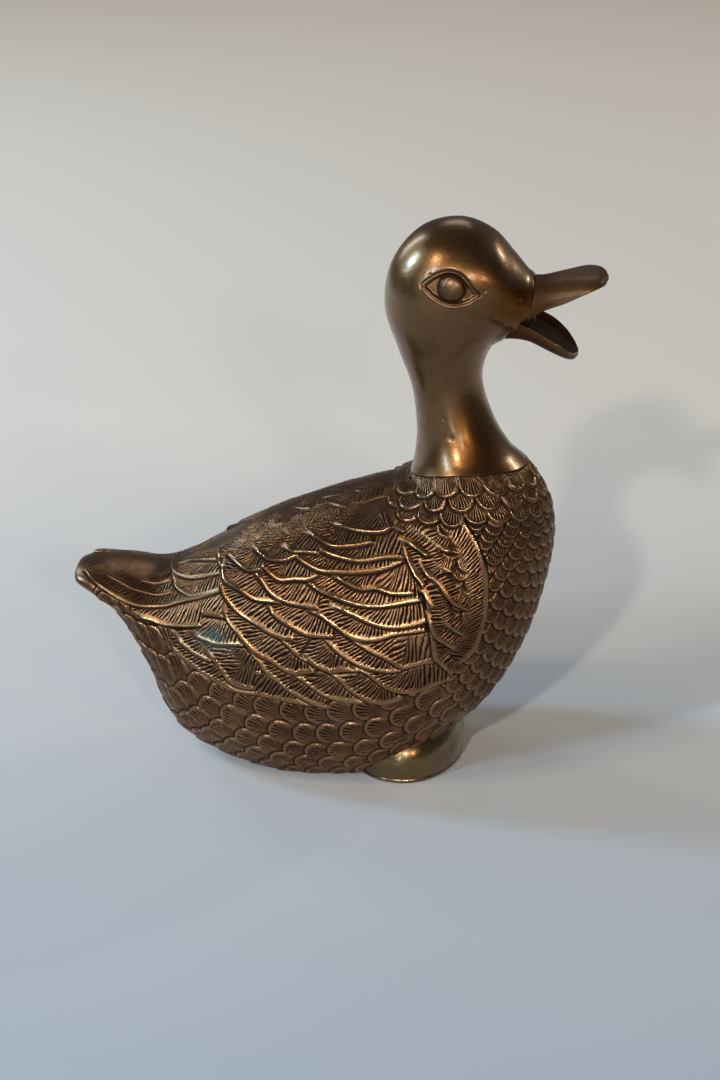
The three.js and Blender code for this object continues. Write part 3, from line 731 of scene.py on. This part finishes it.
trough("bill_upper", UPPER_BILL, 0.7)
trough("bill_lower", LOWER_BILL, 0.75)
bill_skin = tree_of([
    np.stack([arch(station, count=41) for station in curve(stations, np.linspace(0, 5, 90))])
    for stations in (UPPER_BILL, LOWER_BILL)
])


def raised(grid, other, x_from, height=1.0, width=2.2):
    """A grid raised where it comes near another skin, so that the two meet in a soft fillet."""
    normal = unit(np.cross(np.gradient(grid, axis=1), np.gradient(grid, axis=0)))
    rise = np.zeros(grid.shape[:2])
    for i, j in np.argwhere(grid[..., 0] > x_from):
        distance = other.find_nearest(Vector(grid[i, j]), 8)[3]
        if distance is not None:
            rise[i, j] = height * math.exp(-((distance / width) ** 2))
    return grid + normal * rise[..., None]


# Neck and head

theta_head = np.linspace(0, math.pi, int(74 / HEAD_GRID))
t_head = spaced(T_SEAM, T_END, (20, 90, 150), HEAD_GRID)[:, None]
seam_head = seam_t(theta_head, FIT_GAP)
blend_end = T_SEAM + 1.5
t_head = np.where(
    t_head < blend_end,
    seam_head + (t_head - T_SEAM) / (blend_end - T_SEAM) * (blend_end - seam_head),
    t_head,
)
head = Relief(t_head, theta_head[None])

EYE_X = 41.3 + SHIFT
EYE_Z = 188.6
EYE_RADIUS = 4.4
LID_SHARE = 0.9
UPPER_LID = [
    (-10.8, 0.3), (-8.4, 2.5), (-6.1, 4.1), (-3.4, 5.3), (-0.8, 5.8), (2.9, 4.8), (5.7, 2.1),
    (7.9, -0.8), (9.9, -2.6),
]
LOWER_LID = [
    (-10.8, 0.3), (-8.9, -1.4), (-7.1, -2.9), (-3.4, -5.0), (-0.2, -5.9), (2.9, -5.9), (6.4, -4.8),
    (8.4, -3.5), (9.9, -2.6),
]


def distance_to(line, a, b):
    """Distance from flat points to a smooth line, and the side they are on, above it positive."""
    fine = curve(line, np.linspace(0, len(line) - 1, 120))
    d2 = (a[:, None] - fine[None, :, 0]) ** 2 + (b[:, None] - fine[None, :, 1]) ** 2
    k = np.argmin(d2, axis=1)
    return np.sqrt(d2[np.arange(len(a)), k]), np.sign(b - np.interp(a, fine[:, 0], fine[:, 1]))


near = np.flatnonzero(
    (np.abs(head.points[:, 0] - EYE_X) < 16)
    & (np.abs(head.points[:, 2] - EYE_Z) < 13)
    & (head.normals[:, 1] < -0.3)
)
a, b = (head.points[near, 0] - EYE_X) / LID_SHARE, (head.points[near, 2] - EYE_Z) / LID_SHARE
upper, over = distance_to(UPPER_LID, a, b)
lower, under = distance_to(LOWER_LID, a, b)
within = (a > -10.8) & (a < 9.9)
inside = np.where(within & (over < 0) & (under > 0), np.minimum(upper, lower), -np.minimum(upper, lower))
above = (over > 0) | ((over == 0) & (b > -1))
socket = smoothstep(-0.25, 0.45, inside)
upper_lid = np.where(above | (inside > 0), bump(-inside, 0.5, 0.38), 0) * (upper <= lower)
upper_groove = bump(-inside, 1.25, 0.3) * (upper <= lower) * (inside < 0)
lower_lid = bump(-inside, 0.45, 0.32) * (lower < upper)
lower_fold = bump(-inside, 1.5, 0.32) * (lower < upper) * (inside < 0)
lower_groove = bump(-inside, 0.98, 0.22) * (lower < upper) * (inside < 0)
head.height[near] += -1.1 * socket + 0.3 * upper_lid - 0.45 * upper_groove
head.height[near] += 0.28 * lower_lid + 0.15 * lower_fold - 0.25 * lower_groove
ring = bump(np.hypot(a, b) * LID_SHARE, EYE_RADIUS + 0.6, 0.6)
head.height[near] -= 0.5 * ring * socket
# Painted shade in the socket, in a ring round the bead and in the grooves beside the lids
head.dark[near] = np.clip(0.25 * socket + 0.9 * ring * socket + upper_groove + 0.8 * lower_groove, 0, 1)

# The place of the eye, as the nearest of many points on the cheek
t_fine, theta_fine = np.meshgrid(
    np.linspace(T_SEAM + 5, T_END, 500), np.linspace(0.3, 2.4, 400), indexing="ij"
)
cheek = figure(t_fine, theta_fine)
k = np.argmin((cheek[..., 0] - EYE_X) ** 2 + (cheek[..., 2] - EYE_Z) ** 2)
eye_point = cheek.reshape(-1, 3)[k]
eye_normal = figure_normal(t_fine.ravel()[k], theta_fine.ravel()[k])


# Casting pits in the side of the head and neck: x, z, radius and depth
for x, z, radius, depth in (
    (36.0, 193.0, 0.5, 0.25),
    (55.5, 187.5, 0.5, 0.25),
    (27.5, 184.0, 0.4, 0.2),
    (59.0, 184.0, 0.4, 0.25),
    (49.0, 146.0, 0.8, 0.2),
    (41.0, 137.5, 0.6, 0.2),
    (44.0, 131.0, 1.2, 0.3),
    (67.5, 182.0, 0.6, 0.5),
    (65.0, 178.0, 0.6, 0.4),
    (63.5, 175.0, 0.5, 0.3),
):
    off_centre = np.hypot(head.points[:, 0] - x, head.points[:, 2] - z)
    spot = bump(off_centre, 0, radius) * (head.normals[:, 1] < 0)
    head.height -= depth * spot
    head.dark = np.maximum(head.dark, 0.7 * spot * min(depth * 3, 1))

JAW_LINE = [(49, 183.5), (55.6, 179.8), (60.8, 176.4), (66, 172.1), (69.5, 170)]
jaw = np.flatnonzero((head.points[:, 0] > 46) & (head.points[:, 2] < 190) & (head.points[:, 2] > 160))
jaw_x = head.points[jaw, 0]
line_off, line_side = distance_to(JAW_LINE, jaw_x, head.points[jaw, 2])
below_line = -line_off * line_side
fold = 0.5 * bump(line_off, 0, 2.2) - 0.3 * bump(below_line, 3, 1.6)
head.height[jaw] += fold * smoothstep(47, 60, jaw_x)
# A painted shade line below the jaw's fold
head.dark[jaw] = np.maximum(head.dark[jaw], 0.4 * bump(below_line, 2.6, 1.2))

# Warm brown patches on the cheek and the neck, where a warm lamp's gold glints fall: painted warm
# reflection
cheek_glint = np.linalg.norm((head.points - [64, -16, 181]) / [12, 12, 9], axis=1)
neck_glint = np.linalg.norm((head.points - [53, -17, 126]) / [9, 12, 12], axis=1)
head_warm_glint = np.clip(smoothstep(1.15, 0.2, cheek_glint) + 0.7 * smoothstep(1.2, 0.2, neck_glint), 0, 1)

MOUTH_Z = 175
MOUTH_WIDTH = 13
MOUTH_HEIGHT = 7
head_half = head.surface()
front = head_half[-1]
oval = np.stack([
    np.full(len(theta_head), front[:, 0].mean()),
    -MOUTH_WIDTH / 2 * np.sin(theta_head),
    MOUTH_Z + MOUTH_HEIGHT / 2 * np.cos(theta_head),
], -1)
rows_cap = [front + (oval - front) * smoothstep(0, 1, s) for s in np.linspace(0.08, 1, 14)]
rows_throat = [oval - [s, 0, 0] for s in np.linspace(0.5, 24, 24)]
lip = figure(seam_head, theta_head, 3.0)
lip[:, 2] = head_half[0, :, 2]
head_half = raised(head_half, bill_skin, 58)
grid = np.concatenate([lip[None], head_half, rows_cap, rows_throat], axis=0)
extra = len(rows_cap) + len(rows_throat)
# Darkness of the head: the seam's lip, the marks above, and the mouth's cap and throat painted darker the
# deeper they go, as painted shade
dark_head = np.concatenate([
    np.full((1, len(theta_head)), 0.8),
    head.dark.reshape(head.t.shape),
    np.linspace(0.2, 1, extra)[:, None] * np.ones((1, len(theta_head))),
])
warm_head = np.concatenate([
    np.zeros((1, len(theta_head))),
    head_warm_glint.reshape(head.t.shape),
    np.full((extra, len(theta_head)), 0.9),
])
sheet(
    "duck_head",
    both_sides(grid),
    (0.002, 0.002, 0.948, 0.998),
    wrap=True,
    dark=both_sides(dark_head).ravel(),
    warm=both_sides(warm_head).ravel(),
)
eye_places = [Vector(eye_point), Vector(eye_point * [1, -1, 1])]


def away_from_eyes_and_throat(m):
    """Whether a face's middle is clear of the eye sockets and the throat, which are dressed above."""
    near_eye = min((Vector(m) - e).length for e in eye_places) < 9
    in_throat = m[0] > 40 and abs(m[1]) < 9 and abs(m[2] - MOUTH_Z) < 6
    return not near_eye and not in_throat


inner_faces("duck_head", "neck_head", away_from_eyes_and_throat)


# Eye beads

def turned(name, profile, place, outward, count=72):
    """A turned shape standing on the place, along the outward direction."""
    profile = np.array(profile, float)
    z = unit(np.array(outward, float))
    x = unit(np.cross([0, 0, 1], z))
    y = np.cross(z, x)
    angle = np.arange(count) / count * 2 * math.pi
    ring = np.cos(angle)[:, None] * x + np.sin(angle)[:, None] * y
    grid = place + profile[:, 0, None, None] * ring[None] + profile[:, 1, None, None] * z
    sheet(name, grid[:, ::-1], (0.02, 0.02, 0.98, 0.98), wrap=True, dark=np.repeat(profile[:, 2], count))


# Radius, height over the cheek and darkness, from the pin's foot to the top of the dome; the darkness is
# painted shade, deepest where the bead sits in its socket
dome = [(2.0, -5.3, 0.6), (2.0, -1.3, 0.8), (EYE_RADIUS, -1.3, 0.9), (EYE_RADIUS, -0.5, 0.6)]
for s in np.linspace(0, math.pi / 2, 22):
    dome.append((EYE_RADIUS * math.cos(s), -0.35 + 1.65 * math.sin(s), 0.3 * max(1 - s, 0) ** 2))
turned("right_bead", dome, eye_point, eye_normal)
turned("left_bead", dome, eye_point * [1, -1, 1], eye_normal * [1, -1, 1])


# Front pad

PAD_LENGTH = 45
PAD_WIDTH = 68
PAD_HEIGHT = 22
PAD_RIM_HEIGHT = 1.4
PAD_FRONT_X = 47
PAD_FULLNESS = 3.4
# Levels of the pad: height, ledge and share of the full outline
levels = [
    (0.0, 0.6, 1), (0.3, 0.2, 1), (0.8, 0, 1), (1.2, 0.03, 1), (PAD_RIM_HEIGHT, 0.22, 1),
    (PAD_RIM_HEIGHT + 0.3, 0.25, 1),
]
for share in np.linspace(0.03, 0.96, 90):
    shrink = (1 - share**PAD_FULLNESS) ** (1 / PAD_FULLNESS)
    bulge = 0.5 * math.sin(math.pi * min(share * 1.6, 1))
    levels.append((PAD_RIM_HEIGHT + (PAD_HEIGHT - PAD_RIM_HEIGHT) * share, 0.2 - bulge, shrink))
angle = np.arange(240) / 240 * 2 * math.pi
grid = np.stack([
    np.stack([
        SHIFT + PAD_FRONT_X - PAD_LENGTH / 2 + (PAD_LENGTH / 2 - ledge) * shrink * np.cos(angle),
        (PAD_WIDTH / 2 - ledge) * shrink * np.sin(angle),
        np.full_like(angle, z),
    ], -1)
    for z, ledge, shrink in levels
])


def outside_body(corners):
    """Which faces aren't buried in the body."""
    middle = corners.mean(1)
    return np.array([depth_inside(m) < 1.5 for m in middle])


sheet("breast_pad", grid, (0.01, 0.01, 0.99, 0.99), wrap=True, keep=outside_body)
sole = grid[0] * [1, 1, 0]
centre = np.array([SHIFT + PAD_FRONT_X - PAD_LENGTH / 2, 0, 0.0])
floor_rows = np.stack([centre + (sole - centre) * s for s in np.linspace(0.3, 1, 12)])
sheet("breast_pad", floor_rows, (0.991, 0.01, 0.999, 0.99), wrap=True, dark=0.4)


# Materials

def nodes_of(material):
    material.use_nodes = True
    tree = material.node_tree
    tree.nodes.clear()
    return tree


def add(tree, kind, **settings):
    """A node, with its sockets set by names that start with in_ and its options by the others."""
    node = tree.nodes.new(kind)
    for key, value in settings.items():
        if key.startswith("in_"):
            node.inputs[key[3:].replace("_", " ")].default_value = value
        else:
            setattr(node, key, value)
    return node


WARM_BROWN = (0.17, 0.058, 0.012)
VERDIGRIS = (0.02, 0.085, 0.085)


def bronze(name, brown, gold, recess, roughness, grain, mottle, coat):
    """Aged bronze under wax: brown in general, golden where rubbed, dark and dull where the dark mark lies,
    which is patina in the recesses together with painted shade.

    The grain is the strength of the fine bumps, and the mottle is the scale of the patches.
    """
    material = bpy.data.materials.new(name)
    tree = nodes_of(material)
    link = tree.links.new
    place = add(tree, "ShaderNodeTexCoord").outputs["Object"]
    marks = {key: add(tree, "ShaderNodeAttribute", attribute_name=key).outputs["Fac"] for key in MARKS}

    def noise(scale, detail, rough):
        node = add(tree, "ShaderNodeTexNoise", in_Scale=scale, in_Detail=detail, in_Roughness=rough)
        link(place, node.inputs["Vector"])
        return node.outputs["Fac"]

    def remap(value, low, high, to_low, to_high):
        node = add(tree, "ShaderNodeMapRange")
        for i, v in zip((1, 2, 3, 4), (low, high, to_low, to_high)):
            node.inputs[i].default_value = v
        link(value, node.inputs[0])
        return node.outputs[0]

    def mix(share, one, two):
        node = add(tree, "ShaderNodeMix", data_type="RGBA")
        for value, socket in ((share, node.inputs[0]), (one, node.inputs[6]), (two, node.inputs[7])):
            if isinstance(value, tuple):
                socket.default_value = (*value, 1)
            elif isinstance(value, float):
                socket.default_value = value
            else:
                link(value, socket)
        return node.outputs[2]

    def compute(operation, one, two=0.0, clamp=True):
        node = add(tree, "ShaderNodeMath", operation=operation, use_clamp=clamp)
        for value, socket in ((one, node.inputs[0]), (two, node.inputs[1])):
            if isinstance(value, float):
                socket.default_value = value
            else:
                link(value, socket)
        return node.outputs[0]

    # The strokes: dark where the phase is near the middle of its whole number, patina together with painted
    # shade in the chased grooves
    wander = remap(noise(700, 2, 0.5), 0.3, 0.7, -0.07, 0.07)
    turn = compute("FRACT", compute("ADD", marks["phase"], wander, clamp=False), clamp=False)
    off = compute("ABSOLUTE", compute("SUBTRACT", turn, 0.5, clamp=False), clamp=False)
    reach = compute("MULTIPLY", marks["stroke"], STROKE_SHARE, clamp=False)
    groove = remap(compute("SUBTRACT", reach, off, clamp=False), 0.0, 0.12, 0, 1)
    deep = compute("MAXIMUM", marks["dark"], groove)

    broad = noise(mottle, 4, 0.6)
    fine = noise(mottle * 7, 5, 0.65)
    colour = mix(remap(broad, 0.35, 0.68, 0, 0.3), brown, gold)
    colour = mix(compute("MULTIPLY", marks["rubbed"], 0.8), colour, gold)
    # The warm mark tints towards warm brown: the painted warm reflection on the cheek and neck, and the
    # mouth's cap and throat
    orange = compute("MULTIPLY", marks["warm"], remap(broad, 0.3, 0.7, 0.6, 1))
    colour = mix(orange, colour, WARM_BROWN)
    colour = mix(remap(fine, 0.5, 0.75, 0, 0.5), colour, recess)
    colour = mix(deep, colour, recess)
    spots = compute("MULTIPLY", marks["green"], remap(noise(260, 3, 0.6), 0.35, 0.6, 0, 1))
    spots = compute("MULTIPLY", spots, remap(deep, 0, 0.6, 0.35, 1))
    colour = mix(spots, colour, VERDIGRIS)
    shader = add(tree, "ShaderNodeBsdfPrincipled")
    link(colour, shader.inputs["Base Color"])
    metal = compute("SUBTRACT", remap(deep, 0, 1, 1, 0.4), spots)
    link(metal, shader.inputs["Metallic"])
    polish = compute("MULTIPLY", marks["rubbed"], 0.2)
    worn = compute("SUBTRACT", remap(fine, 0.3, 0.7, 0, 0.14), polish, clamp=False)
    rough = compute("ADD", remap(deep, 0, 1, roughness, roughness + 0.3), worn)
    link(rough, shader.inputs["Roughness"])
    bare = compute("MAXIMUM", deep, marks["warm"])
    link(remap(bare, 0, 0.8, coat, 0), shader.inputs["Coat Weight"])
    link(remap(deep, 0, 0.8, 0.5, 0.08), shader.inputs["Specular IOR Level"])
    shader.inputs["Coat Roughness"].default_value = 0.18
    pits = add(tree, "ShaderNodeTexVoronoi", in_Scale=420.0)
    link(place, pits.inputs["Vector"])
    pocks = remap(pits.outputs["Distance"], 0.05, 0.2, -0.6, 0)
    surface = compute("ADD", noise(900, 4, 0.6), pocks, clamp=False)
    relief = add(tree, "ShaderNodeBump", in_Strength=grain, in_Distance=0.0002)
    link(surface, relief.inputs["Height"])
    cuts = add(tree, "ShaderNodeBump", invert=True, in_Strength=0.8, in_Distance=0.0003)
    link(groove, cuts.inputs["Height"])
    link(relief.outputs["Normal"], cuts.inputs["Normal"])
    link(cuts.outputs["Normal"], shader.inputs["Normal"])
    link(cuts.outputs["Normal"], shader.inputs["Coat Normal"])
    output = add(tree, "ShaderNodeOutputMaterial")
    link(shader.outputs[0], output.inputs["Surface"])
    return material


feathered = bronze(
    "feathered bronze", brown=(0.15, 0.071, 0.033), gold=(0.4, 0.24, 0.115), recess=(0.012, 0.005, 0.003),
    roughness=0.26, grain=0.35, mottle=38.0, coat=0.1,
)
smooth = bronze(
    "smooth bronze", brown=(0.16, 0.077, 0.026), gold=(0.25, 0.14, 0.052), recess=(0.03, 0.012, 0.005),
    roughness=0.27, grain=0.22, mottle=26.0, coat=0.55,
)
bead = bronze(
    "bead bronze", brown=(0.11, 0.062, 0.032), gold=(0.16, 0.095, 0.048), recess=(0.03, 0.015, 0.008),
    roughness=0.3, grain=0.15, mottle=60.0, coat=0.1,
)
pad = bronze(
    "pad bronze", brown=(0.17, 0.11, 0.045), gold=(0.3, 0.2, 0.09), recess=(0.035, 0.017, 0.008),
    roughness=0.2, grain=0.2, mottle=30.0, coat=0.7,
)

finish_piece("duck_body", feathered, "body_shell")
finish_piece("duck_head", smooth, "neck_head")
finish_piece("bill_upper", smooth, "upper_bill")
finish_piece("bill_lower", smooth, "lower_bill")
finish_piece("right_bead", bead, "right_eye")
finish_piece("left_bead", bead, "left_eye")
finish_piece("breast_pad", pad, "front_pad")


# Stage, light and camera

# The floor's colour at places along y, in metres, from in front of the figure to far behind it: painted
# light, darker and bluish in front, paler and warmer behind
FLOOR_SHADING = ((-0.23, (0.39, 0.435, 0.50)), (0.38, (0.80, 0.73, 0.67)), (1.8, (0.97, 0.87, 0.78)))


def paper(name):
    """Matt paper with painted light: bluish and darker in front, warmer and paler behind."""
    material = bpy.data.materials.new(name)
    tree = nodes_of(material)
    link = tree.links.new
    place = add(tree, "ShaderNodeTexCoord")
    split = add(tree, "ShaderNodeSeparateXYZ")
    link(place.outputs["Object"], split.inputs[0])
    colour = None
    for (y, one), (y_next, two) in zip(FLOOR_SHADING, FLOOR_SHADING[1:]):
        share = add(tree, "ShaderNodeMapRange")
        share.inputs[1].default_value, share.inputs[2].default_value = y, y_next
        link(split.outputs["Y"], share.inputs[0])
        tint = add(tree, "ShaderNodeMix", data_type="RGBA")
        tint.inputs[6].default_value, tint.inputs[7].default_value = (*one, 1), (*two, 1)
        link(share.outputs[0], tint.inputs[0])
        if colour is not None:
            link(colour, tint.inputs[6])
        colour = tint.outputs[2]
    shader = add(tree, "ShaderNodeBsdfPrincipled", in_Roughness=0.9)
    link(colour, shader.inputs["Base Color"])
    shader.inputs["Specular IOR Level"].default_value = 0.1
    output = add(tree, "ShaderNodeOutputMaterial")
    link(shader.outputs[0], output.inputs["Surface"])
    return material


bpy.ops.mesh.primitive_circle_add(vertices=96, radius=30, fill_type="NGON", location=(0, 0, -0.0002))
floor = bpy.context.object
floor.name = "paper_floor"
floor.data.materials.append(paper("paper"))


def placed(name, data, location):
    thing = bpy.data.objects.new(name, data)
    bpy.context.scene.collection.objects.link(thing)
    thing.location = location
    return thing


def area_lamp(name, location, size, watts, colour):
    data = bpy.data.lights.new(name, "AREA")
    data.shape = "RECTANGLE"
    data.size, data.size_y = size
    data.energy = watts
    data.color = colour
    return placed(name, data, location)


def look_along(thing, direction):
    thing.rotation_euler = direction.to_track_quat("-Z", "Y").to_euler()


LIT = Vector((0.03, 0, 0.1))
# Lamps that face the figure: way to it from the lit point, distance, size, watts and colour
LAMPS = {
    "window_left": ((-0.87, 0.16, 0.48), 1.8, (0.3, 0.4), 15, (0.45, 0.72, 1.0)),
    "window_behind": ((-0.62, 0.6, 0.45), 1.9, (0.2, 0.9), 4.5, (0.85, 0.97, 1.0)),
    "window_front": ((-0.63, -0.64, 0.44), 1.9, (0.1, 0.6), 14, (0.55, 0.78, 1.0)),
    "glow": ((-0.52, -0.41, 0.75), 2.0, (0.45, 0.45), 9, (1.0, 0.8, 0.56)),
    "lamp_behind": ((0.64, 0.64, 0.43), 1.8, (0.1, 0.2), 3, (1.0, 0.95, 0.75)),
    "strip_front": ((-0.02, -1.0, 0.1), 2.3, (0.08, 0.5), 3.5, (0.8, 0.92, 1.0)),
    "gold": ((0.54, -0.78, 0.33), 1.8, (0.1, 0.1), 3, (1.0, 0.7, 0.35)),
    "front_right": ((0.243, -0.907, 0.345), 2.4, (0.12, 0.12), 11, (1.0, 0.93, 0.82)),
    "front_left": ((-0.164, -0.874, 0.457), 2.4, (0.09, 0.09), 22, (1.0, 0.93, 0.82)),
}
for name, (way, distance, *settings) in LAMPS.items():
    away = Vector(way).normalized()
    look_along(area_lamp(name, LIT + away * distance, *settings), -away)
area_lamp("backdrop", (0, 2.0, 1.5), (0.8, 0.8), 4, (1.0, 0.9, 0.78))

world = bpy.data.worlds.new("room")
bpy.context.scene.world = world
world.use_nodes = True
sky = world.node_tree.nodes["Background"]
sky.inputs["Color"].default_value = (0.62, 0.62, 0.63, 1)
sky.inputs["Strength"].default_value = 0.13

AZIMUTH = math.radians(5)
ELEVATION = math.radians(21)
AIM = Vector((0.0095, 0, 0.084))
DISTANCE = 0.956
LENS = 85
SENSOR_WIDTH = 36
data = bpy.data.cameras.new("camera")
data.lens = LENS
data.sensor_width = SENSOR_WIDTH
away = Vector((
    math.sin(AZIMUTH) * math.cos(ELEVATION),
    -math.cos(AZIMUTH) * math.cos(ELEVATION),
    math.sin(ELEVATION),
))
camera = placed("camera", data, AIM + away * DISTANCE)
look_along(camera, -away)
bpy.context.scene.camera = camera
bpy.context.scene.view_settings.view_transform = "Standard"
